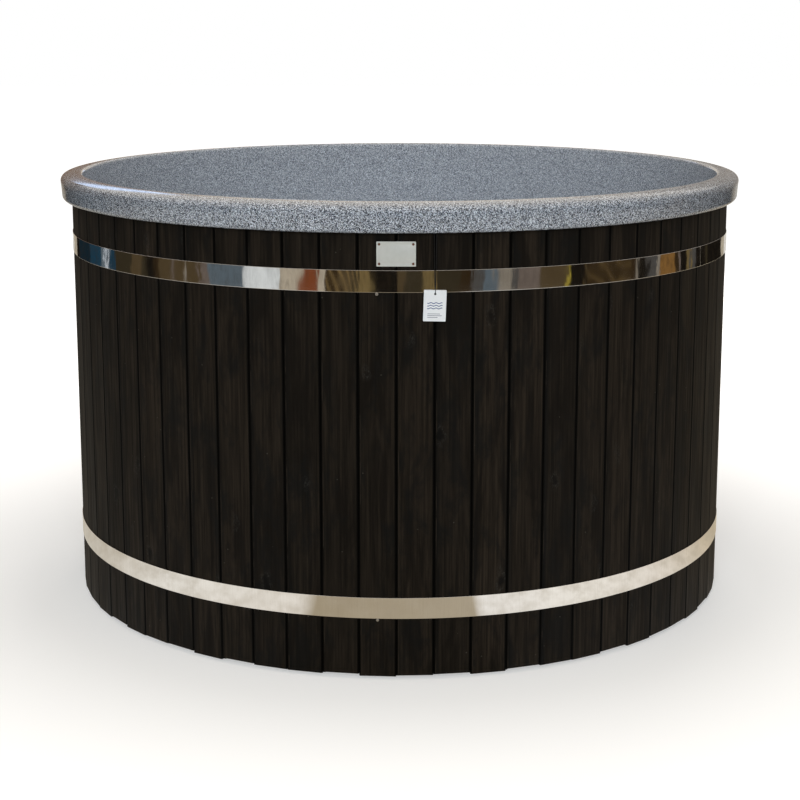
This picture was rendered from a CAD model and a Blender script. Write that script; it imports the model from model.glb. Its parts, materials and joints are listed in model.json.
# Round wooden hot tub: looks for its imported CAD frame.
# Metres, +Z up, the front is -Y and the ground is z = 0. Angles grow towards +X.
import json
from math import atan2, cos, pi, radians, sin, tan

import bpy
from mathutils import Matrix, Vector

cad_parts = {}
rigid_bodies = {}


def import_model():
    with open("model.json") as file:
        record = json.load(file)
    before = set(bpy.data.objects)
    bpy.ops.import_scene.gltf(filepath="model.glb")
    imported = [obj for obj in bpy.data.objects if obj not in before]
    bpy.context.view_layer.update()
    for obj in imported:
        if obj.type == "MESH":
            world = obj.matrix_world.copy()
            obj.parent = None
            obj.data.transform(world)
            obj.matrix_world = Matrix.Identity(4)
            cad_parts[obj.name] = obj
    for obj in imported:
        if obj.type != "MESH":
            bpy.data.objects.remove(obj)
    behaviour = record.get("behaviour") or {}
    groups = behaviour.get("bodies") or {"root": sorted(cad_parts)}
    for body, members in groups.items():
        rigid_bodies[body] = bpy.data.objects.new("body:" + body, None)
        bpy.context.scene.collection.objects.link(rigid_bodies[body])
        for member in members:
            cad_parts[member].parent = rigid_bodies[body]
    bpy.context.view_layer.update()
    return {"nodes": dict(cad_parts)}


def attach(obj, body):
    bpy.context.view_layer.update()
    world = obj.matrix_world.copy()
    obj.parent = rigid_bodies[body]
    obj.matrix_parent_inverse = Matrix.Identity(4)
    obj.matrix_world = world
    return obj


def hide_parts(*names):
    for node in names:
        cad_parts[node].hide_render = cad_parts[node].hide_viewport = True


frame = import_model()

# ---- Camera ----
# A standing person's view, 4.7 m from the tub's middle and a touch right of its
# front seam, through a long lens. The picture is the lower part of the lens's view.
eye_distance, eye_height, eye_turn, eye_dip = 4.726, 1.538, radians(0.5), radians(10.84)
lens, film_width, film_shift = 78.7, 36, (0.0005, -0.072)
bpy.ops.object.camera_add(
    location=(eye_distance * sin(eye_turn), -eye_distance * cos(eye_turn), eye_height),
    rotation=(pi / 2 - eye_dip, 0, eye_turn))
camera = bpy.context.object
camera.data.lens, camera.data.sensor_width = lens, film_width
camera.data.shift_x, camera.data.shift_y = film_shift
bpy.context.scene.camera = camera
bpy.context.scene.view_settings.view_transform = "Standard"

# ---- String of the hang tag ----
# Black waxed thread of three strands. It is looped over a nail under the rim, goes
# through the tag's hole and is knotted at the nail.
tub_pitch = 2 * pi / 63          # one stave
tag_turn = tub_pitch             # the tag hangs one stave to the right of the front seam
tag_radius = 0.876077            # from the tub's axis to the middle of the card
nail_height = 1.066
thread_width = 0.0016
thread_lay = 0.0055              # length of one twist
strand_swell = 0.12              # how far the three strands stand out of the thread
ring_points = 15                 # round the thread
route_step = 0.45                # mm between points along the thread
knot_rise, knot_loop, knot_thick = 0.0035, 0.00115, 0.0007
route_down = [                   # mm: across, outward from the card, up from the nail
    (0.9, 0, 2.9), (2.3, 0, 1.9), (3.0, 0, 0), (2.9, 0, -6), (2.6, 0.1, -20),
    (2.2, 0.4, -45), (1.8, 0.8, -75), (1.4, 1.2, -105), (0.9, 1.5, -130),
    (0.3, 1.5, -145), (0, 1.5, -152), (0, 1.2, -153.9), (0, 0, -154.6)]
thread_route = route_down + [(-x, -y, z) for x, y, z in route_down[-2::-1]]


def only(piece):
    """Selects this piece alone."""
    if bpy.context.mode != "OBJECT":
        bpy.ops.object.mode_set(mode="OBJECT")
    bpy.ops.object.select_all(action="DESELECT")
    piece.select_set(True)
    bpy.context.view_layer.objects.active = piece
    return piece


def opened(piece):
    """Opens a piece for editing, with all of it selected."""
    only(piece)
    bpy.ops.object.mode_set(mode="EDIT")
    bpy.ops.mesh.select_all(action="SELECT")


def joined(pieces):
    """Joins pieces into the first of them."""
    bpy.ops.object.select_all(action="DESELECT")
    for piece in pieces:
        piece.select_set(True)
    bpy.context.view_layer.objects.active = pieces[0]
    bpy.ops.object.join()
    return only(pieces[0])


def new(add_mesh, **settings):
    """A new plain mesh, added with nothing else selected."""
    bpy.ops.object.select_all(action="DESELECT")
    add_mesh(**settings)
    return bpy.context.object


def shaded(piece, angle):
    """Shades a piece smooth, but for edges sharper than an angle in degrees."""
    only(piece)
    bpy.ops.object.shade_smooth_by_angle(angle=radians(angle))
    return piece


def closed_outward(piece):
    """Merges doubles, closes open rings and turns the faces outwards."""
    opened(piece)
    bpy.ops.mesh.select_mode(type="VERT")
    bpy.ops.mesh.select_all(action="SELECT")
    bpy.ops.mesh.remove_doubles(threshold=1e-6)
    bpy.ops.mesh.select_all(action="DESELECT")
    bpy.ops.mesh.select_non_manifold()
    bpy.ops.mesh.fill_holes(sides=0)
    bpy.ops.mesh.select_all(action="SELECT")
    bpy.ops.mesh.normals_make_consistent(inside=False)
    bpy.ops.object.mode_set(mode="OBJECT")
    return piece


def settled(piece, name):
    """Names a piece and puts its origin on the tub's, with its place in its mesh."""
    only(piece)
    bpy.ops.object.transform_apply(location=True, rotation=True, scale=True)
    piece.name = piece.data.name = name
    return piece


def smoothed(points, step):
    """The same route as one smooth curve, with points about a step apart."""
    line = []
    for i in range(len(points) - 1):
        a, b, c, d = (Vector(points[min(max(k, 0), len(points) - 1)])
                      for k in (i - 1, i, i + 1, i + 2))
        count = max(1, round((c - b).length / step))
        for t in (k / count for k in range(count)):
            line.append(0.5 * (2 * b + (c - a) * t + (2 * a - 5 * b + 4 * c - d) * t * t
                               + (3 * b - a - 3 * c + d) * t ** 3))
    return line + [Vector(points[-1])]


def finish_of(name, roughness=0.5, metallic=0.0, **sockets):
    """A material with one Principled shader, and the values that are the same all over."""
    finish = bpy.data.materials.new(name)
    finish.use_nodes = True
    shader = finish.node_tree.nodes["Principled BSDF"]
    for socket, value in dict(sockets, Roughness=roughness, Metallic=metallic).items():
        shader.inputs[socket.replace("_", " ")].default_value = value
    return finish


def add(finish, kind, into=(), **settings):
    """Adds a node, with its settings and with a value or a link for its inputs."""
    node = finish.node_tree.nodes.new("ShaderNode" + kind)
    for key, value in settings.items():
        setattr(node, key, value)
    for key, value in dict(into).items():
        socket = node.inputs[key]
        if isinstance(value, bpy.types.NodeSocket):
            finish.node_tree.links.new(value, socket)
        else:
            opaque = socket.type == "RGBA" and len(value) == 3
            socket.default_value = (*value, 1) if opaque else value
    return node


def feed(finish, **links):
    """Feeds the shader's sockets."""
    shader = finish.node_tree.nodes["Principled BSDF"]
    for socket, value in links.items():
        finish.node_tree.links.new(value, shader.inputs[socket.replace("_", " ")])


def tones(finish, value, *stops, smooth=True):
    """A ramp of tones over a value, each stop a place and a colour or a grey."""
    ramp = add(finish, "ValToRGB", {"Fac": value})
    if not smooth:
        ramp.color_ramp.interpolation = "CONSTANT"
    marks = ramp.color_ramp.elements
    for i, (place, tone) in enumerate(stops):
        mark = marks[i] if i < 2 else marks.new(place)
        mark.position = place
        mark.color = (*((tone,) * 3 if isinstance(tone, (int, float)) else tone), 1)
    return ramp.outputs["Color"]


def here_on(finish):
    """The place on the tub, in metres."""
    return add(finish, "TexCoord").outputs["Object"]


def grain(finish, place, scale, detail=4, rough=0.5, twist=0.0, out="Fac"):
    """A cloudy pattern, its scale in grains a metre."""
    return add(finish, "TexNoise", {"Vector": place, "Scale": scale, "Detail": detail,
                                    "Roughness": rough, "Distortion": twist}).outputs[out]


def stretched(finish, scale=(1, 1, 1), turn=(0, 0, 0), where=(0, 0, 0), kind="POINT"):
    """The place on the tub, scaled along each axis."""
    return add(finish, "Mapping", {"Vector": here_on(finish), "Location": where,
                                   "Rotation": turn, "Scale": scale}, vector_type=kind).outputs[0]


def bumped(finish, height, depth, strength, over=None):
    """A relief, its depth in metres, alone or over another."""
    under = {"Normal": over} if over else {}
    return add(finish, "Bump", {"Height": height, "Distance": depth, "Strength": strength,
                                **under}).outputs["Normal"]


def grained(name, scale, detail, *stops, rough=(), relief=(), **values):
    """A finish that one fine grain tones, and may roughen and raise as well."""
    finish = finish_of(name, **values)
    spots = grain(finish, stretched(finish), scale, detail)
    feed(finish, Base_Color=tones(finish, spots, *stops))
    if rough:
        feed(finish, Roughness=tones(finish, spots, *zip((0.3, 0.7), rough)))
    if relief:
        feed(finish, Normal=bumped(finish, spots, *relief))
    return finish


def coat(piece, finish):
    """Gives a piece one finish all over."""
    piece.data.materials.clear()
    piece.data.materials.append(finish)


turned_to_tag = Matrix.Rotation(tag_turn, 4, "Z")
thread_line = [turned_to_tag @ Vector((x / 1000, -tag_radius - y / 1000, nail_height + z / 1000))
               for x, y, z in smoothed(thread_route, route_step)]
strand_ring = bpy.data.curves.new("strand_ring", "CURVE")
ring = strand_ring.splines.new("POLY")
ring.points.add(ring_points - 1)
ring.use_cyclic_u = True
for i, point in enumerate(ring.points):
    turn = 2 * pi * i / ring_points
    reach = thread_width / 2 * (1 - strand_swell + strand_swell * cos(3 * turn))
    point.co = (reach * cos(turn), reach * sin(turn), 0, 1)
strand_ring = bpy.data.objects.new("strand_ring", strand_ring)
bpy.context.collection.objects.link(strand_ring)
thread = bpy.data.curves.new("thread", "CURVE")
thread.dimensions, thread.bevel_mode, thread.bevel_object = "3D", "OBJECT", strand_ring
thread.use_fill_caps = True
run = thread.splines.new("POLY")
run.points.add(len(thread_line) - 1)
along = 0.0
for i, (point, place) in enumerate(zip(run.points, thread_line)):
    along += (place - thread_line[i - 1]).length if i else 0
    point.co, point.tilt = (*place, 1), 2 * pi * along / thread_lay
thread = bpy.data.objects.new("thread", thread)
bpy.context.collection.objects.link(thread)
only(thread)
bpy.ops.object.convert(target="MESH")
thread = closed_outward(settled(bpy.context.object, "tag_thread"))
bpy.data.objects.remove(strand_ring)

black_thread = grained("black_thread", 900, 3, (0.3, 0.004), (0.75, 0.02),
                       roughness=0.62, Specular_IOR_Level=0.3)
coat(thread, black_thread)

knot_middle = turned_to_tag @ Vector((0, -tag_radius, nail_height + knot_rise))
knot = settled(new(
    bpy.ops.mesh.primitive_torus_add, major_radius=knot_loop, minor_radius=knot_thick,
    major_segments=24, minor_segments=10, location=knot_middle,
    rotation=(radians(70), radians(20), 0)), "tag_knot")
bpy.ops.object.duplicate()
crossing = bpy.context.object
opened(crossing)
bpy.ops.transform.rotate(value=radians(75), orient_axis="Z", center_override=knot_middle)
bpy.ops.object.mode_set(mode="OBJECT")
joined((knot, crossing))
bpy.ops.object.shade_smooth()
coat(knot, black_thread)

# ---- Hang tag ----
# White coated card, punched for its thread and printed on the front. It hangs with
# its foot a little to the left.
card_width, card_height, card_thick = 0.051, 0.071, 0.0008
card_hole, card_hole_drop, card_lean = 0.0025, 0.009, radians(1.9)
card_corner, card_edge = 0.0016, 0.00012
hole_height = nail_height - 0.156


def picked(piece, kind, chosen):
    """Opens a piece for editing, with only the chosen faces or edges selected."""
    only(piece)
    bpy.ops.object.mode_set(mode="EDIT")
    bpy.ops.mesh.select_mode(type=kind)
    bpy.ops.mesh.select_all(action="DESELECT")
    bpy.ops.object.mode_set(mode="OBJECT")
    for part in piece.data.polygons if kind == "FACE" else piece.data.edges:
        part.select = chosen(part)
    bpy.ops.object.mode_set(mode="EDIT")


def span(piece, edge):
    """The vector along an edge, and its middle."""
    a, b = (piece.data.vertices[i].co for i in edge.vertices)
    return a - b, (a + b) / 2


def cut_by(piece, cutter, operation="DIFFERENCE"):
    """Cuts a piece by another, or joins the two, and takes the other away."""
    only(piece)
    bpy.ops.object.modifier_add(type="BOOLEAN")
    cut = piece.modifiers[-1]
    cut.operation, cut.object, cut.solver = operation, cutter, "EXACT"
    bpy.ops.object.modifier_apply(modifier=cut.name)
    bpy.data.objects.remove(cutter)
    return piece


def bar(radius, length, place=(0, 0, 0), lean=(0, 0, 0), facets=64):
    """A plain round bar, for cutting or joining."""
    return settled(new(bpy.ops.mesh.primitive_cylinder_add, vertices=facets, radius=radius,
                       depth=length, location=place, rotation=lean), "bar")


def rounded(piece, chosen, radius, segments):
    """Rounds the chosen edges of a piece."""
    picked(piece, "EDGE", chosen)
    bpy.ops.mesh.bevel(offset=radius, segments=segments, affect="EDGES")
    bpy.ops.object.mode_set(mode="OBJECT")


def eased(piece, width, segments=2, angle=35):
    """Rounds a piece's sharp edges and shades it."""
    only(piece)
    bpy.ops.object.modifier_add(type="BEVEL")
    edge = piece.modifiers[-1]
    edge.width, edge.segments, edge.angle_limit = width, segments, radians(angle)
    edge.limit_method, edge.harden_normals = "ANGLE", False
    bpy.ops.object.modifier_apply(modifier=edge.name)
    return shaded(piece, angle)


card_place = (turned_to_tag @ Matrix.Translation((0, -tag_radius, hole_height))
              @ Matrix.Rotation(card_lean, 4, "Y"))
card = new(bpy.ops.mesh.primitive_cube_add, size=1)
card.dimensions = (card_width, card_thick, card_height)
card.location.z = card_hole_drop - card_height / 2
settled(card, "tag_card")
rounded(card, lambda edge: abs(span(card, edge)[0].y) > card_thick / 2, card_corner, 4)
cut_by(card, bar(card_hole, 0.01, lean=(pi / 2, 0, 0), facets=40))
eased(closed_outward(card), card_edge, 1)
card.matrix_world = card_place
settled(card, "tag_card")

stock = finish_of("printed_card", roughness=0.38, Specular_IOR_Level=0.45)
lean = card_place.to_euler()
flat = stretched(stock, turn=lean, where=card_place.translation, kind="TEXTURE")
axes = add(stock, "SeparateXYZ", {0: flat}).outputs
across, up = axes["X"], axes["Z"]


def maths(finish, operation, a, b=0.0, c=0.0):
    """The result of one step of arithmetic on values in a finish."""
    return add(finish, "Math", {0: a, 1: b, 2: c}, operation=operation).outputs[0]


def times(finish, a, b):
    """Two values multiplied."""
    return maths(finish, "MULTIPLY", a, b)


def mixed(finish, share, under, over):
    """One tone with a share of another over it."""
    return add(finish, "Mix", {0: share, 6: under, 7: over}, data_type="RGBA").outputs[2]


def between(finish, value, low, high):
    """1 where a value lies between two others, else 0."""
    return times(finish, maths(finish, "GREATER_THAN", value, low),
                 maths(finish, "LESS_THAN", value, high))


wave_heights, wave_length, wave_swing = (-0.0205, -0.0265, -0.0325), 0.012, 0.0011
wave_reach, wave_line = 0.017, 0.0009        # to each side of the middle
ruled_lines = ((-0.045, 0.012), (-0.049, 0.016), (-0.053, 0.007))    # height and right end
ruled_start, ruled_line = -0.016, 0.0006
ink_blue, ink_grey = (0.012, 0.05, 0.20), (0.16, 0.17, 0.22)
wave = maths(stock, "SINE", times(stock, across, 2 * pi / wave_length))
inked = ruled = 0.0
for height in wave_heights:
    off = maths(stock, "SUBTRACT", up, maths(stock, "MULTIPLY_ADD", wave, wave_swing, height))
    near = maths(stock, "LESS_THAN", maths(stock, "ABSOLUTE", off), wave_line)
    inked = maths(stock, "MAXIMUM", inked, near)
inked = times(stock, inked, between(stock, across, -wave_reach, wave_reach))
for height, end in ruled_lines:
    line = times(stock, between(stock, up, height - ruled_line, height + ruled_line),
                 between(stock, across, ruled_start, end))
    ruled = maths(stock, "MAXIMUM", ruled, line)
front = maths(stock, "LESS_THAN", axes["Y"], 0.0)
pulp = grain(stock, flat, 700, 3)
face = tones(stock, pulp, (0.2, (0.80, 0.80, 0.80)), (0.8, (0.88, 0.88, 0.89)))
for print_share, ink in ((inked, ink_blue), (ruled, ink_grey)):
    face = mixed(stock, times(stock, print_share, front), face, ink)
feed(stock, Base_Color=face, Normal=bumped(stock, pulp, 0.00002, 0.4))
coat(card, stock)

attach(thread, "tag_string")
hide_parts("tag_string")
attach(knot, "tag_string")
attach(card, "hang_tag")
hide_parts("hang_tag")

# ---- Nail of the tag ----
# Bright steel wire nail with a flat head. It is driven into a stave behind the rim,
# and carries the loop of the tag's thread.


def coat_solids(finish, *nodes):
    """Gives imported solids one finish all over."""
    for node in nodes:
        coat(frame["nodes"][node], finish)


bright_steel = grained("bright_steel", 400, 2, (0.2, 0.48), (0.8, 0.62),
                       roughness=0.3, metallic=1.0)
coat_solids(bright_steel, "tag_nail")

# ---- Liner ----
# One moulding of speckled plastic: floor, bench, wall and the downturned rim. It
# stands on the deck and the bench's ring, and its rim hides the staves' ends.
rim_radius, rim_top = 0.900, 1.115
liner_thick, liner_facets = 0.008, 288
lip_bottom, lip_radius, lip_inside = 1.048, 0.897, 0.884
wall_radius, mouth_low = 0.8425, 1.067
floor_top, bench_top = 0.121, 0.541
footwell_radius, riser_radius = 0.460, 0.470
bend, bench_nose, rim_corner, rim_edge, lip_corner = 0.060, 0.025, 0.015, 0.008, 0.010
crown_lean = 17                  # degrees that the rim's top falls away by, at its corner
wall_lean = 1.5                  # degrees that the wall leans outwards by
wall_foot = wall_radius - (mouth_low - bench_top - bend) * tan(radians(wall_lean))
port_heights = (0.270, 0.440)
port_pad, pad_inside, pad_outside, pad_round = 0.058, 0.455, 0.486, 0.004
port_hole, hole_start, hole_end = 0.0343, 0.40, 0.55
drain_side, drain_hole = 0.140, 0.0243


def bow(centre, radius, start, stop, steps):
    """Points of an arc in the tub's section, from one angle to another."""
    return [(centre[0] + radius * cos(radians(start + (stop - start) * i / steps)),
             centre[1] + radius * sin(radians(start + (stop - start) * i / steps)))
            for i in range(steps + 1)]


def turned(section, facets, name):
    """Turns a section round the tub's axis, ring by ring, into a closed shell."""
    radius, height = section[0]
    shell = settled(new(bpy.ops.mesh.primitive_circle_add, vertices=facets, radius=radius,
                        location=(0, 0, height)), name)
    opened(shell)
    for new_radius, new_height in section[1:]:
        bpy.ops.mesh.extrude_region_move(
            TRANSFORM_OT_translate={"value": (0, 0, new_height - height)})
        grow = new_radius / radius
        bpy.ops.transform.resize(value=(grow, grow, 1), center_override=(0, 0, new_height))
        radius, height = new_radius, new_height
    bpy.ops.object.mode_set(mode="OBJECT")
    return shell


hub, floor_ring, bench_middle, lip_middle = 0.02, 0.20, 0.62, 1.080
footwell_corner = (footwell_radius - bend, floor_top + bend)
nose_centre = (riser_radius + bench_nose, bench_top - bench_nose)
bench_corner = (wall_foot - bend, bench_top + bend)
lip_centre = (lip_radius - lip_corner, lip_bottom + lip_corner)
liner_inside = (
    [(hub, floor_top), (floor_ring, floor_top)]
    + bow(footwell_corner, bend, -90, 0, 10)
    + bow(nose_centre, bench_nose, 180, 90, 8)
    + [(bench_middle, bench_top)]
    + bow(bench_corner, bend, -90, 0, 10)
    + [((wall_foot + wall_radius) / 2, (bench_top + bend + mouth_low) / 2),
       (wall_radius, mouth_low)]
    + bow((wall_radius + rim_edge, rim_top - rim_edge), rim_edge, 180, 90, 8))
crest = wall_radius + rim_edge
crown_radius = ((rim_radius - crest - rim_corner * (1 - sin(radians(crown_lean))))
                / sin(radians(crown_lean)))
crown_centre = (crest, rim_top - crown_radius)
corner_centre = bow(crown_centre, crown_radius - rim_corner, 90 - crown_lean, 0, 1)[0]
rim_outside = (
    bow(crown_centre, crown_radius, 90, 90 - crown_lean, 7)[1:]
    + bow(corner_centre, rim_corner, 90 - crown_lean, 0, 8)[1:]
    + [((rim_radius + lip_radius) / 2, lip_middle)]
    + bow(lip_centre, lip_corner, 0, -90, 8)
    + [(lip_inside, lip_bottom), (lip_inside, lip_bottom + liner_thick)]
    + bow(lip_centre, lip_corner - liner_thick, -90, 0, 3)
    + bow(corner_centre, rim_corner - liner_thick, 0, 90 - crown_lean, 4)
    + bow(crown_centre, crown_radius - liner_thick, 90 - crown_lean, 90, 5)[1:-1])
liner_outside = (
    [(wall_radius + liner_thick, rim_top - liner_thick), (wall_radius + liner_thick, mouth_low)]
    + bow(bench_corner, bend + liner_thick, 0, -90, 8)
    + bow(nose_centre, bench_nose - liner_thick, 90, 180, 6)
    + bow(footwell_corner, bend + liner_thick, 0, -90, 8)
    + [(hub, floor_top - liner_thick)])
liner = closed_outward(turned(liner_inside + rim_outside + liner_outside, liner_facets,
                              "liner_shell"))


def port_bar(radius, start, end, height):
    """A round bar along +Y, from one distance from the tub's axis to another."""
    return bar(radius, end - start, (0, (start + end) / 2, height), (-pi / 2, 0, 0))


for height in port_heights:
    pad = eased(port_bar(port_pad, pad_inside, pad_outside, height), pad_round, 3)
    cut_by(liner, pad, "UNION")
for height in port_heights:
    cut_by(liner, port_bar(port_hole, hole_start, hole_end, height))
cut_by(liner, bar(drain_hole, 0.05, (drain_side, 0, floor_top)))
shaded(liner, 32)


def from_axis(finish):
    """The distance from the tub's axis."""
    level = add(finish, "VectorMath", {0: here_on(finish), 1: (1, 1, 0)}, operation="MULTIPLY")
    return add(finish, "VectorMath", {0: level.outputs[0]}, operation="LENGTH").outputs["Value"]


plastic = finish_of("speckled_plastic", roughness=0.12, Specular_IOR_Level=0.75)
here = here_on(plastic)
fleck_dark, fleck_light = (0.008, 0.011, 0.019), (0.67, 0.72, 0.805)
dust_dark, dust_light = (0.010, 0.014, 0.024), (0.76, 0.79, 0.84)
calm_grey, calm_share = (0.52, 0.58, 0.672), 0.26    # the wall is calmer than the rim
cloud = grain(plastic, here, 5, 3)
speck = tones(plastic, cloud, (0.3, (0.122, 0.146, 0.186)), (0.7, (0.150, 0.176, 0.220)))
# grains a metre, then the lot, the share and the tone of dark and of light ones
for fineness, dark_from, dark_share, dark, light_to, light_share, light in (
        (600.0, 0.53, 1.0, fleck_dark, 0.31, 1.0, fleck_light),
        (1000.0, 0.58, 0.85, dust_dark, 0.20, 0.9, dust_light)):
    cells = add(plastic, "TexVoronoi", {"Vector": here, "Scale": fineness})
    drawn_lot = add(plastic, "SeparateColor", {0: cells.outputs["Color"]}).outputs
    is_dark = maths(plastic, "GREATER_THAN", drawn_lot[0], dark_from)
    is_light = maths(plastic, "LESS_THAN", drawn_lot[1], light_to)
    speck = mixed(plastic, times(plastic, is_dark, dark_share), speck, dark)
    speck = mixed(plastic, times(plastic, is_light, light_share), speck, light)
calm = tones(plastic, from_axis(plastic), (wall_radius, calm_share), (wall_radius + rim_edge, 0.0))
speck = mixed(plastic, calm, speck, calm_grey)
ripple = grain(plastic, here, 30, 3)
skin = bumped(plastic, grain(plastic, here, 500, 2), 0.00002, 0.4)
feed(plastic, Base_Color=speck,
     Normal=bumped(plastic, ripple, 0.0001, 0.4, over=skin),
     Roughness=tones(plastic, cloud, (0.3, 0.08), (0.7, 0.15)))
coat(liner, plastic)
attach(liner, "tub")
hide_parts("liner")

# ---- Staves ----
# Planed and bevelled spruce boards, tongued and grooved into a ring, sawn to length
# by hand, and stained nearly black. The bands alone hold them.
stave_cover, groove_width = 0.0869, 0.0080
arris_width = 0.0008             # the rubbed line beside each groove
# tones of the stain: two for what differs from board to board, else one
deep_tones = (0.0052, 0.0041, 0.0029), (0.0074, 0.0057, 0.0039)
worn_tones = (0.0190, 0.0142, 0.0098), (0.0290, 0.0208, 0.0140)
figure_tone, patch_tone = (0.0048, 0.0038, 0.0028), (0.0044, 0.0045, 0.0042)
torn_tone, knot_tone = (0.0420, 0.0400, 0.0360), (0.0020, 0.0021, 0.0022)
fluff_tone, pooled_tone = (0.12, 0.11, 0.09), (0.0014, 0.0018, 0.0021)
arris_tone, seam_tone = (0.036, 0.028, 0.020), (0.0004, 0.0004, 0.0003)
stain = finish_of("black_stain", roughness=0.6, Specular_IOR_Level=0.10)
axes = add(stain, "SeparateXYZ", {0: here_on(stain)}).outputs


def turn_at(finish, sides):
    """The turn round the tub in radians, from the front towards +X."""
    return maths(finish, "ARCTAN2", sides["X"], times(finish, sides["Y"], -1.0))


turns = maths(stain, "DIVIDE", turn_at(stain, axes), tub_pitch)
board = maths(stain, "FLOOR", turns)
across = times(stain, maths(stain, "SUBTRACT", turns, board), stave_cover)
lot = add(stain, "TexWhiteNoise", {"W": board}, noise_dimensions="1D").outputs
lot_tone, lot_parts = lot["Value"], add(stain, "SeparateColor", {0: lot["Color"]}).outputs
wander = times(stain, lot_tone, 7.0)
in_board = add(stain, "CombineXYZ", {
    "X": maths(stain, "ADD", across, wander), "Y": from_axis(stain),
    "Z": maths(stain, "ADD", axes["Z"], times(stain, wander, 3.0))}).outputs[0]


def drawn(scale):
    """The board's own coordinates, drawn out along its length."""
    return add(stain, "Mapping", {"Vector": in_board, "Scale": scale}).outputs[0]


streaks = grain(stain, drawn((1, 1, 0.025)), 190, 5, 0.62, 0.4)
figure = grain(stain, drawn((1, 1, 0.14)), 26, 4, 0.6, 0.6)
patches = grain(stain, drawn((1, 1, 0.45)), 17, 5, 0.65, 0.3)
boards = mixed(stain, tones(stain, streaks, (0.34, 0.0), (0.72, 1.0)),
               mixed(stain, lot_tone, *deep_tones), mixed(stain, lot_parts[0], *worn_tones))
bend_round = add(stain, "VectorMath", {
    0: grain(stain, in_board, 30, 2, out="Color"), 1: (0.03,) * 3}, operation="MULTIPLY")
grown = add(stain, "VectorMath", {0: drawn((1.25, 0.4, 0.62)), 1: bend_round.outputs[0]},
            operation="ADD").outputs[0]
knots = add(stain, "TexVoronoi", {"Vector": grown, "Scale": 7.5}).outputs["Distance"]
torn = times(stain, tones(stain, grain(stain, drawn((1, 1, 0.5)), 420, 2, 0.5, 1.0),
                          (0.50, 0.0), (0.62, 1.0)),
             tones(stain, knots, (0.07, 0.0), (0.10, 0.6), (0.17, 0.0)))
fluff = add(stain, "TexVoronoi", {"Vector": in_board, "Scale": 95.0}).outputs
few = maths(stain, "GREATER_THAN", add(
    stain, "SeparateColor", {0: fluff["Color"]}).outputs[0], 0.985)
flecks = maths(stain, "LESS_THAN", fluff["Distance"], times(stain, few, 0.13))
pooled = times(stain, tones(stain, lot_parts[1], (0.40, 0.0), (0.75, 1.0)), tones(
    stain, maths(stain, "DIVIDE", across, stave_cover), (0.05, 0.90), (0.18, 0.0)))
arris = times(stain, tones(stain, patches, (0.50, 0.0), (0.58, 0.7)), maths(
    stain, "COMPARE", across, groove_width / 2 + arris_width, arris_width))
from_seam = maths(stain, "PINGPONG", across, stave_cover / 2)
seam = tones(stain, maths(stain, "DIVIDE", from_seam, groove_width), (0.48, 1.0), (0.58, 0.0))
for share, tone in ((tones(stain, figure, (0.47, 0.0), (0.60, 0.85)), figure_tone),
                    (tones(stain, patches, (0.50, 0.0), (0.63, 0.75)), patch_tone),
                    (torn, torn_tone),
                    (tones(stain, knots, (0.05, 0.85), (0.11, 0.0)), knot_tone),
                    (times(stain, flecks, 0.45), fluff_tone),
                    (pooled, pooled_tone), (arris, arris_tone), (seam, seam_tone)):
    boards = mixed(stain, share, boards, tone)
swell = bumped(stain, figure, 0.0010, 0.5, over=bumped(stain, streaks, 0.0004, 0.5))
feed(stain, Base_Color=boards, Roughness=tones(stain, streaks, (0.3, 0.72), (0.75, 0.50)),
     Normal=swell)
coat_solids(stain, *("stave_panel_%02d" % number for number in range(1, 22)))

# ---- Bands ----
# Polished stainless strip, pulled tight round the staves by a bolt through two
# welded lugs at the back. Each rests on three screws.
band_height, band_thick, band_inside = 0.050, 0.0012, 0.872277
band_lows = {"upper_band": 0.913, "lower_band": 0.149}
lug_turn, lug_gap, lug_thick, lug_reach = radians(210), 0.024, 0.003, 0.024
bolt_radius = band_inside + band_thick + lug_reach / 2 + 0.001
bolt_hole, lug_round = 0.0045, 0.006
strip_round = 0.00045            # the strip's rolled corners
band_pull = 0.00022              # how far the band is drawn in towards each stave's flat
band_columns = 12                # columns of faces on each stave
band_edge = 0.0008               # the rolled edge, past which the strip is flat


def polar(turn, radius, height=0.0):
    """The point at a turn round the tub, from the front towards +X."""
    return Vector((radius * sin(turn), -radius * cos(turn), height))


def strip():
    """A band's strip at height zero: its section spun round the tub."""
    start = lug_turn + (lug_gap / 2 + lug_thick / 2) / band_inside
    band = new(bpy.ops.mesh.primitive_plane_add, size=1, rotation=(pi / 2, 0, start - pi / 2),
               location=polar(start, band_inside + band_thick / 2, band_height / 2))
    band.scale = (band_thick, band_height, 1)
    opened(settled(band, "strip"))
    bpy.ops.mesh.bevel(offset=strip_round, segments=3, affect="VERTICES")
    for height in (band_edge, band_height - band_edge):
        bpy.ops.mesh.select_all(action="SELECT")
        bpy.ops.mesh.bisect(plane_co=(0, 0, height), plane_no=(0, 0, 1))
    bpy.ops.mesh.select_all(action="SELECT")
    bpy.ops.mesh.spin(steps=63 * band_columns, angle=2 * pi - 2 * (start - lug_turn),
                      center=(0, 0, 0), axis=(0, 0, 1))
    bpy.ops.object.mode_set(mode="OBJECT")
    return band


def lug(side):
    """The flat lug welded on one end of a band."""
    tab = new(bpy.ops.mesh.primitive_cube_add, size=1)
    depth = lug_reach + band_thick / 2
    tab.dimensions = (lug_thick, depth, band_height)
    tab.location = (side * (lug_gap + lug_thick) / 2,
                    -(band_inside + band_thick / 2 + depth / 2), band_height / 2)
    settled(tab, "lug")
    rounded(tab, lambda edge: abs(span(tab, edge)[0].x) > lug_thick / 2
            and span(tab, edge)[1].y < -band_inside - 2 * band_thick, lug_round, 6)
    cut_by(tab, bar(bolt_hole, 0.1, (0, -bolt_radius, band_height / 2), (0, pi / 2, 0), 40))
    eased(tab, 0.0004, 2)
    tab.rotation_euler.z = lug_turn
    return settled(tab, "lug")


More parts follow.
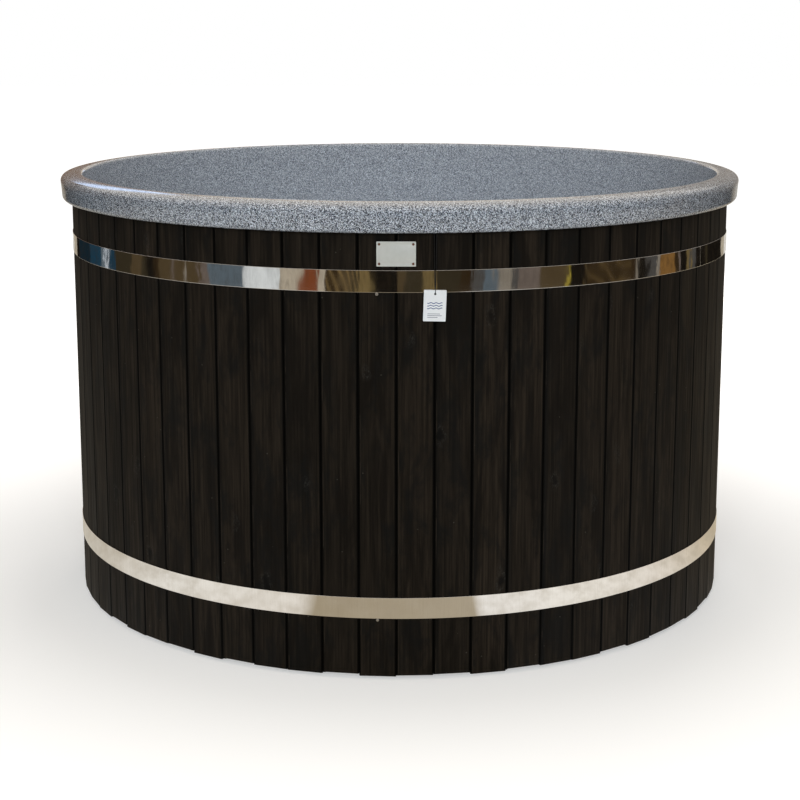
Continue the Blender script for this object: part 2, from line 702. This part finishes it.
def drawn_in(piece, depth):
    """Draws a band in a hair towards the flat of each stave, as its tension does."""
    for point in piece.data.vertices:
        share = (atan2(point.co.x, -point.co.y) / tub_pitch) % 1
        lean = 1 - depth * (1 - cos(2 * pi * share)) / 2 / band_inside
        point.co.x, point.co.y = point.co.x * lean, point.co.y * lean


band = closed_outward(strip())
drawn_in(band, band_pull)
for side in (-1, 1):
    cut_by(band, lug(side), "UNION")
shaded(band, 40)

mirror = finish_of("mirror_steel", roughness=0.06, metallic=1.0)
here = here_on(mirror)
smear = grain(mirror, here, 14, 4, 0.6)
wiped = grain(mirror, stretched(mirror, (1, 1, 0.06)), 260, 4, 0.6)
steel_tone = tones(mirror, smear, (0.3, (0.80, 0.785, 0.76)), (0.7, (0.88, 0.87, 0.85)))
wiped_tone = (0.66, 0.64, 0.60)
dents = bumped(mirror, grain(mirror, here, 22, 2), 0.00001, 0.2)
wiped_share = tones(mirror, wiped, (0.42, 0.0), (0.66, 0.15))
feed(mirror, Base_Color=mixed(mirror, wiped_share, steel_tone, wiped_tone),
     Roughness=tones(mirror, smear, (0.35, 0.03), (0.75, 0.08)),
     Normal=bumped(mirror, wiped, 0.000006, 0.4, over=dents))
coat(band, mirror)
for name, low in band_lows.items():
    only(band)
    bpy.ops.object.duplicate()
    hoop = bpy.context.object
    hoop.location.z = low
    settled(hoop, name + "_strip")
    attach(hoop, "tub")
    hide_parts(name)
bpy.data.objects.remove(band)

# ---- Band bolts ----
# A zinc-plated M8 bolt, two washers and a nut draw each band's lugs together. They
# are cut and rolled steel, and the bolt stands across the gap at the back.


def refined(node, finish, edge, body="tub", segments=2):
    """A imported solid's copy in the same place, its faces merged and its edges softened."""
    copy = frame["nodes"][node].copy()
    copy.data = copy.data.copy()
    bpy.context.collection.objects.link(copy)
    only(copy)
    bpy.ops.object.parent_clear(type="CLEAR_KEEP_TRANSFORM")
    opened(settled(copy, node + "_finished"))
    bpy.ops.mesh.remove_doubles(threshold=2e-6)
    bpy.ops.mesh.dissolve_limited(angle_limit=radians(0.5))
    bpy.ops.object.mode_set(mode="OBJECT")
    eased(copy, edge, segments, 30)
    coat(copy, finish)
    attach(copy, body)
    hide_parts(node)


zinc = finish_of("zinc", roughness=0.34, metallic=1.0)
spangle = add(zinc, "TexVoronoi", {"Vector": here_on(zinc), "Scale": 420.0})
film = grain(zinc, here_on(zinc), 90, 3)
feed(zinc, Base_Color=mixed(zinc, film, (0.52, 0.53, 0.55), (0.68, 0.68, 0.67)),
     Roughness=tones(zinc, spangle.outputs["Distance"], (0.0, 0.28), (0.8, 0.42)))
for node, edge in (("band_bolts", 0.0005), ("band_nuts", 0.0005), ("band_washers", 0.0002)):
    refined(node, zinc, edge)

# ---- Screws under the bands ----
# Pan-headed steel screws with a cross recess, driven into a stave. The band's lower
# edge rests on their heads.
stave_face, rest_drop = 0.871, 0.00365    # the drop is to the middle of a head


def pan_screw(head, height, shank, length, slot_width):
    """A screw at the front of the tub, its head's back at the origin, its tip inward."""
    screw = settled(new(bpy.ops.mesh.primitive_cylinder_add, vertices=40, radius=head,
                        depth=height, location=(0, 0, height / 2)), "screw")
    picked(screw, "FACE", lambda face: face.normal.z > 0.9)
    bpy.ops.mesh.bevel(offset=height * 0.62, segments=6, profile=0.55, affect="EDGES")
    picked(screw, "FACE", lambda face: face.normal.z < -0.9)
    bpy.ops.mesh.inset(thickness=head - shank)
    bpy.ops.mesh.extrude_region_move(TRANSFORM_OT_translate={"value": (0, 0, -length * 0.85)})
    bpy.ops.mesh.extrude_region_move(TRANSFORM_OT_translate={"value": (0, 0, -length * 0.15)})
    bpy.ops.transform.resize(value=(0.15, 0.15, 1), center_override=(0, 0, -length))
    bpy.ops.object.mode_set(mode="OBJECT")
    for turn in (0, pi / 2):
        blade = new(bpy.ops.mesh.primitive_cube_add, size=1)
        blade.scale = (head * 1.15, slot_width, height * 0.9)
        blade.location.z, blade.rotation_euler.z = height, turn + 0.4
        cut_by(screw, settled(blade, "blade"))
    shaded(screw, 35)
    screw.rotation_euler.x = pi / 2
    return settled(screw, "screw")


def set_out(piece, places, name):
    """Copies of a piece at each place, a turn round the tub, a side step, radius and height."""
    copies = []
    for turn, side, radius, height in places:
        only(piece)
        bpy.ops.object.duplicate()
        copy = bpy.context.object
        copy.matrix_world = (Matrix.Rotation(turn, 4, "Z")
                             @ Matrix.Translation((side, -radius, height)))
        copies.append(settled(copy, "copy"))
    bpy.data.objects.remove(piece)
    return settled(joined(copies), name)


rest_screws = set_out(
    pan_screw(head=0.0035, height=0.0028, shank=0.002, length=0.016, slot_width=0.0009),
    [((21 * third - 0.5) * tub_pitch, 0, stave_face, low - rest_drop)
     for low in band_lows.values() for third in range(3)], "band_rest_screws")
coat(rest_screws, bright_steel)
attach(rest_screws, "tub")
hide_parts("band_support_screws")

# ---- Nameplate ----
# Brushed metal plate with a screw in each corner, on the staves at the front. The
# real one is lettered and this one is bare.
plate_width, plate_height, plate_thick, plate_middle = 0.088, 0.056, 0.0012, 1.000
plate_back, plate_hole, plate_corner, plate_edge = 0.872277, 0.00165, 0.0016, 0.00025
plate = new(bpy.ops.mesh.primitive_cube_add, size=1)
plate.dimensions = (plate_width, plate_thick, plate_height)
plate.location = (0, -plate_back - plate_thick / 2, plate_middle)
settled(plate, "name_plate")
rounded(plate, lambda edge: abs(span(plate, edge)[0].y) > plate_thick / 2, plate_corner, 5)
plate_corners = [(x, z) for x in (-0.038, 0.038) for z in (-0.022, 0.022)]
for x, z in plate_corners:
    cut_by(plate, bar(plate_hole, 0.02, (x, -plate_back, plate_middle + z), (pi / 2, 0, 0), 24))
eased(plate, plate_edge, 2)
brushed = finish_of("brushed_plate", roughness=0.42, metallic=0.35)
brush = grain(brushed, stretched(brushed, (0.02, 1, 1)), 2200, 3)
age = grain(brushed, stretched(brushed), 60, 4, 0.65)
feed(brushed, Base_Color=mixed(brushed, age, (0.60, 0.61, 0.57), (0.72, 0.73, 0.70)),
     Roughness=tones(brushed, brush, (0.3, 0.34), (0.7, 0.5)),
     Normal=bumped(brushed, brush, 0.00002, 0.3))
coat(plate, brushed)
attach(plate, "tub")
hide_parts("nameplate")

plate_screws = set_out(
    pan_screw(head=0.0028, height=0.0018, shank=0.0015, length=0.016, slot_width=0.0007),
    [(0, x, plate_back + plate_thick, plate_middle + z) for x, z in plate_corners],
    "name_plate_screws")
aged_brass = grained("aged_brass", 700, 3, (0.3, (0.16, 0.07, 0.045)), (0.7, (0.36, 0.20, 0.14)),
                     roughness=0.38, metallic=1.0)
coat(plate_screws, aged_brass)
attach(plate_screws, "tub")
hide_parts("nameplate_screws")

# ---- Base ----
# Sawn joists on the ground carry two deck halves of plywood, posts, and a plywood
# ring under the bench, all held by wood screws. The skirt of staves hides them.
sawn_timber = finish_of("sawn_timber", roughness=0.8, Specular_IOR_Level=0.25)
rings = grain(sawn_timber, stretched(sawn_timber, (9, 0.5, 9)), 9, 4, 0.6, 1.2)
sawn = grain(sawn_timber, stretched(sawn_timber, (1, 8, 1)), 60, 3)
timber = tones(sawn_timber, rings, (0.3, (0.30, 0.25, 0.13)), (0.7, (0.50, 0.42, 0.24)))
sawn_tone, glue_tone = (0.22, 0.20, 0.11), (0.30, 0.19, 0.10)
feed(sawn_timber, Normal=bumped(sawn_timber, sawn, 0.0006, 0.5),
     Base_Color=mixed(sawn_timber, times(sawn_timber, sawn, 0.3), timber, sawn_tone))
coat_solids(sawn_timber, "base_joists", "bench_posts")
plywood = finish_of("plywood", roughness=0.6, Specular_IOR_Level=0.3)
veneer = grain(plywood, stretched(plywood, (1, 12, 1)), 7, 5, 0.6, 0.8)
plies = add(plywood, "TexWave", {"Vector": stretched(plywood), "Scale": 90.0, "Distortion": 0.5},
            bands_direction="Z").outputs["Fac"]
ply_tone = tones(plywood, veneer, (0.3, (0.42, 0.28, 0.15)), (0.7, (0.60, 0.44, 0.27)))
feed(plywood, Normal=bumped(plywood, veneer, 0.0003, 0.4),
     Base_Color=mixed(plywood, times(plywood, plies, 0.25), ply_tone, glue_tone))
coat_solids(plywood, "deck_left", "deck_right", "bench_ring")
coat_solids(zinc, "base_screws")

# ---- Drain ----
# A plastic flange with a steel strainer in the footwell's floor, sealed and nutted
# under the deck, and an elbow and pipe that run out through the staves at the back.
white_plastic = grained("white_plastic", 80, 4, (0.3, (0.62, 0.63, 0.62)),
                        (0.7, (0.74, 0.74, 0.72)), rough=(0.3, 0.42))
refined("drain_flange", white_plastic, 0.0008)
coat_solids(white_plastic, "drain_locknut")
pressed_steel = grained("pressed_steel", 120, 3, (0.2, 0.56), (0.8, 0.68),
                        rough=(0.16, 0.3), metallic=1.0)
refined("drain_strainer", pressed_steel, 0.0004)
grey_pipe = grained("grey_pipe", 50, 4, (0.3, (0.12, 0.125, 0.135)), (0.7, (0.17, 0.175, 0.185)),
                    roughness=0.4)
refined("drain_pipe", grey_pipe, 0.0006)
coat_solids(grey_pipe, "drain_elbow")
black_rubber = grained("black_rubber", 150, 4, (0.3, 0.008), (0.75, 0.022), relief=(0.0001, 0.4),
                       roughness=0.75, Specular_IOR_Level=0.3)
coat_solids(black_rubber, "drain_gasket", "heater_gaskets")
refined("pipe_grommets", black_rubber, 0.0008)

# ---- Drain valve ----
# Brass ball valve with a chromed ball on two plastic seats. Its steel lever has a
# soft vinyl sleeve and turns a quarter, with the stem and the ball.
brass = finish_of("cast_brass", roughness=0.3, metallic=1.0)
cast = grain(brass, here_on(brass), 260, 3)
dull = grain(brass, here_on(brass), 30, 4)
feed(brass, Base_Color=mixed(brass, dull, (0.55, 0.38, 0.15), (0.72, 0.53, 0.24)),
     Roughness=tones(brass, dull, (0.3, 0.24), (0.7, 0.42)),
     Normal=bumped(brass, cast, 0.0002, 0.25))
for node in ("valve_body", "valve_end_cap", "valve_gland", "drain_tail"):
    refined(node, brass, 0.0007)
seat_plastic = grained("seat_plastic", 200, 2, (0.3, 0.7), (0.7, 0.82), roughness=0.3)
coat_solids(seat_plastic, "valve_seats")
chromed = grained("chromed", 300, 2, (0.2, 0.64), (0.8, 0.72), roughness=0.06, metallic=1.0)
coat_solids(chromed, "valve_ball")
for node, finish, edge in (("valve_stem", bright_steel, 0.0003), ("valve_lever", zinc, 0.0006),
                           ("valve_lever_nut", zinc, 0.0005)):
    refined(node, finish, edge, body="valve_handle")
black_vinyl = grained("black_vinyl", 260, 3, (0.3, 0.010), (0.7, 0.020), relief=(0.0003, 0.35),
                      Specular_IOR_Level=0.4)
refined("valve_grip", black_vinyl, 0.0018, body="valve_handle", segments=4)

# ---- Heater ports ----
# Two black flanged fittings with a grille, nutted through the footwell's back wall,
# and steel pipes that carry the water out to a heater.
black_plastic = grained("black_plastic", 420, 3, (0.3, 0.011), (0.7, 0.019), relief=(0.0002, 0.3),
                        roughness=0.42)
refined("heater_fittings", black_plastic, 0.0010, segments=3)
coat_solids(black_plastic, "heater_locknuts")
refined("heater_pipes", pressed_steel, 0.0006)

# ---- Studio ----
# Plain pale floor, soft lamps, and a screen round the room that only glossy rays
# see: the workshop's doors, timber and daylight that a polished band mirrors.
floor_size, floor_tone, worn_floor = 60, (0.70, 0.68, 0.65), (0.44, 0.38, 0.29)
shade_start, shade_end, shade_least = 1.0, 2.6, 0.42    # m from the tub's axis, and its depth
floor = new(bpy.ops.mesh.primitive_plane_add, size=floor_size)
floor.name = "studio_floor"
pale_floor = finish_of("pale_floor", roughness=1.0, Specular_IOR_Level=0.0,
                       Base_Color=(*floor_tone, 1))
tree = pale_floor.node_tree
rays = add(pale_floor, "LightPath").outputs
here = here_on(pale_floor)
lift = add(pale_floor, "MapRange", {
    "Value": from_axis(pale_floor), "From Min": shade_start, "From Max": shade_end,
    "To Min": shade_least, "To Max": 1.0}).outputs[0]
lit = add(pale_floor, "Emission", {
    "Color": (1, 1, 1), "Strength": times(pale_floor, rays["Is Camera Ray"], lift)}).outputs[0]
lit = add(pale_floor, "AddShader", {0: tree.nodes["Principled BSDF"].outputs[0], 1: lit})
# the floor as the bands mirror it, from the back round by the left, 0.5 at the front
axes = add(pale_floor, "SeparateXYZ", {0: here}).outputs
bearing = maths(pale_floor, "MULTIPLY_ADD", turn_at(pale_floor, axes), 0.5 / pi, 0.5)
trodden = tones(
    pale_floor, bearing, (0.070, (1.0, 1.0, 0.98)), (0.095, (0.40, 0.37, 0.31)),
    (0.18, (0.54, 0.50, 0.42)), (0.28, (0.66, 0.61, 0.53)), (0.34, (0.90, 0.87, 0.81)),
    (0.441, (0.86, 0.81, 0.74)), (0.449, (0.40, 0.335, 0.235)), (0.548, (0.45, 0.385, 0.285)),
    (0.552, (0.95, 0.92, 0.88)), (0.62, (0.98, 0.94, 0.87)), (0.68, (0.86, 0.80, 0.72)),
    (0.76, (0.64, 0.54, 0.40)), (0.79, (0.50, 0.42, 0.30)), (0.84, (0.62, 0.54, 0.40)),
    (0.88, (0.50, 0.42, 0.30)), (0.92, (0.70, 0.63, 0.52)), (0.99, (1.0, 1.0, 0.98)))
spots = tones(pale_floor, grain(pale_floor, here, 9, 5, 0.65), (0.40, 0.0), (0.62, 0.40))
trodden = mixed(pale_floor, spots, trodden, worn_floor)
mirrored = add(pale_floor, "Emission", {"Color": trodden, "Strength": 1.0})
shown = add(pale_floor, "MixShader", {
    0: rays["Is Glossy Ray"], 1: lit.outputs[0], 2: mirrored.outputs[0]})
tree.links.new(shown.outputs[0], tree.nodes["Material Output"].inputs["Surface"])
floor.data.materials.append(pale_floor)

screen_radius, screen_height = 5.6, 3.2
screen = settled(new(
    bpy.ops.mesh.primitive_cylinder_add, vertices=128, radius=screen_radius, depth=screen_height,
    location=(0, 0, screen_height / 2), end_fill_type="NOTHING"), "studio_screen")
paint = bpy.data.materials.new("screen_paint")
paint.use_nodes = True
paint.node_tree.nodes.remove(paint.node_tree.nodes["Principled BSDF"])
axes = add(paint, "SeparateXYZ", {0: here_on(paint)}).outputs
bearing = maths(paint, "DIVIDE", turn_at(paint, axes), pi)
# the workshop's tones, and where each starts, in degrees round from the front
cream, mist, slate = (0.78, 0.75, 0.69), (0.72, 0.75, 0.76), (0.105, 0.135, 0.160)
blue, teal, glint = (0.011, 0.042, 0.072), (0.005, 0.016, 0.025), (0.55, 0.60, 0.66)
beige, sand, khaki = (0.24, 0.21, 0.17), (0.46, 0.40, 0.31), (0.165, 0.118, 0.048)
grey, mauve, yellow = (0.075, 0.072, 0.068), (0.150, 0.120, 0.102), (0.42, 0.33, 0.05)
brick, ochre, brown = (0.200, 0.058, 0.022), (0.215, 0.110, 0.032), (0.078, 0.054, 0.026)
umber, olive, soot = (0.030, 0.018, 0.008), (0.034, 0.027, 0.015), (0.006, 0.005, 0.004)
left_side = [(-180, cream), (-150, sand), (-144, soot), (-138, teal), (-124, blue),
             (-114.4, slate), (-110.6, glint), (-109.2, slate), (-107.6, blue), (-104.4, olive),
             (-95.5, brown), (-89, olive), (-87, soot), (-83, umber), (-79.5, brown),
             (-75.5, mauve), (-74, brown), (-70.4, beige), (-69, brown), (-64, mauve),
             (-61, slate), (-48.5, mist), (-36, sand), (-29, brick), (-24.6, sand),
             (-20.5, umber), (-17, brown), (-14, olive), (-11.5, khaki), (-7.2, soot)]
right_side = [(0, brown), (2.6, olive), (7, khaki), (10.8, olive), (17.5, umber), (21.5, grey),
              (26, slate), (29, beige), (35, grey), (37, mauve), (43.5, brown), (52.2, yellow),
              (53, soot), (61, umber), (79.6, beige), (81, soot), (85.5, grey), (89.3, beige),
              (91.3, ochre), (99, umber), (101.3, mauve), (102.7, soot), (107, khaki),
              (109.3, grey), (113, soot), (117.5, beige), (118.8, soot), (121.5, olive),
              (123, soot), (142, sand), (147, cream)]
# on the left the ramp runs backwards, so there a tone is placed by where it ends
left_ends = [turn for turn, tone in left_side[1:]] + [0]
left_stops = sorted((-end / 180, tone) for end, (turn, tone) in zip(left_ends, left_side))
right_stops = [(turn / 180, tone) for turn, tone in right_side]
streaky = grain(paint, stretched(paint, (1, 1, 1.6)), 5.0, 3, 0.6)
wavy = maths(paint, "ABSOLUTE", maths(paint, "ADD", bearing, maths(
    paint, "MULTIPLY_ADD", streaky, 0.044, -0.022)))
side_tones = [tones(paint, wavy, *stops, smooth=False) for stops in (left_stops, right_stops)]
low_wall = mixed(paint, maths(paint, "GREATER_THAN", bearing, 0.0), *side_tones)
clutter_tone, slat_tone = (0.030, 0.022, 0.014), (0.200, 0.135, 0.055)
right_stack, left_stack = (0.33, 0.43), (-0.118, -0.045)    # stacked slats, in half turns
window_glow, window_low, window_high = (1.30, 1.60, 2.20), (1.20, 1.45), 2.4
clutter = grain(paint, stretched(paint, (1, 1, 5)), 7.0, 4, 0.65, 1.5)
low_wall = mixed(paint, tones(paint, clutter, (0.46, 0.0), (0.60, 0.45)), low_wall, clutter_tone)
slats = add(paint, "TexWave", {"Vector": stretched(paint, (1, 1, 3), (0.5, 0.4, 0.3)),
                               "Scale": 1.9, "Distortion": 4.0, "Detail": 1.0}).outputs["Fac"]
stacked = maths(paint, "MULTIPLY_ADD", between(paint, bearing, *right_stack), 0.4,
                between(paint, bearing, *left_stack))
stacked = times(paint, stacked, tones(paint, slats, (0.70, 0.0), (0.86, 0.8)))
low_wall = mixed(paint, stacked, low_wall, slat_tone)
lap = maths(paint, "FRACT", times(paint, bearing, 0.5))    # once round from the front
upper_wall = tones(
    paint, lap, (0.10, (0.30, 0.27, 0.24)), (0.40, (0.36, 0.32, 0.28)),
    (0.45, (0.32, 0.28, 0.24)), (0.48, (0.95, 0.85, 0.72)), (0.53, (0.85, 0.73, 0.59)),
    (0.55, (0.24, 0.155, 0.10)), (0.66, (0.18, 0.13, 0.10)), (0.90, (0.30, 0.27, 0.24)))
high_window = times(paint, between(paint, lap, 0.545, 0.575),
                    maths(paint, "GREATER_THAN", axes["Z"], window_high))
back_window = times(paint, between(paint, lap, 0.509, 0.526),
                    between(paint, axes["Z"], *window_low))
windows = maths(paint, "MAXIMUM", high_window, back_window)
upper_wall = mixed(paint, windows, upper_wall, window_glow)
rise = tones(paint, axes["Z"], (0.35, 0.0), (0.8, 1.0))
glow = add(paint, "Emission", {"Color": mixed(paint, rise, low_wall, upper_wall), "Strength": 1.0})
tree = paint.node_tree
tree.links.new(glow.outputs[0], tree.nodes["Material Output"].inputs["Surface"])
screen.data.materials.append(paint)
for ray in ("camera", "diffuse", "transmission", "volume_scatter", "shadow"):
    setattr(screen, "visible_" + ray, False)


def lamp(name, place, aim, size, power, tint):
    """A soft square lamp that points at a place."""
    bpy.ops.object.light_add(type="AREA", location=place)
    light = bpy.context.object
    light.name = name
    light.data.size, light.data.energy, light.data.color = size, power, tint
    light.visible_camera = light.visible_glossy = False
    light.rotation_euler = (Vector(aim) - Vector(place)).to_track_quat("-Z", "Y").to_euler()


air_fill, air_warmth = 0.16, (1.0, 0.93, 0.84)
lamp("front_lamp", (-0.2, -8.0, 3.5), (0, 0.3, 0.8), 3.6, 390, (0.86, 0.94, 1.0))
lamp("top_lamp", (0.0, -0.6, 4.2), (0, 0, 0.9), 2.4, 58, (1.0, 0.90, 0.78))
lamp("back_lamp", (1.2, 5.2, 2.2), (0, 0, 0.7), 3.0, 118, (1.0, 0.98, 0.96))

air = bpy.data.worlds.new("studio_air")
bpy.context.scene.world = air
air.use_nodes = True
air_rays = add(air, "LightPath").outputs
seen = maths(air, "MAXIMUM", air_rays["Is Camera Ray"], air_rays["Is Glossy Ray"])
level = add(air, "MapRange", {"Value": seen, "To Min": air_fill}).outputs[0]
tint = mixed(air, air_rays["Is Camera Ray"], air_warmth, (1, 1, 1))
background = air.node_tree.nodes["Background"].inputs
air.node_tree.links.new(level, background["Strength"])
air.node_tree.links.new(tint, background["Color"])
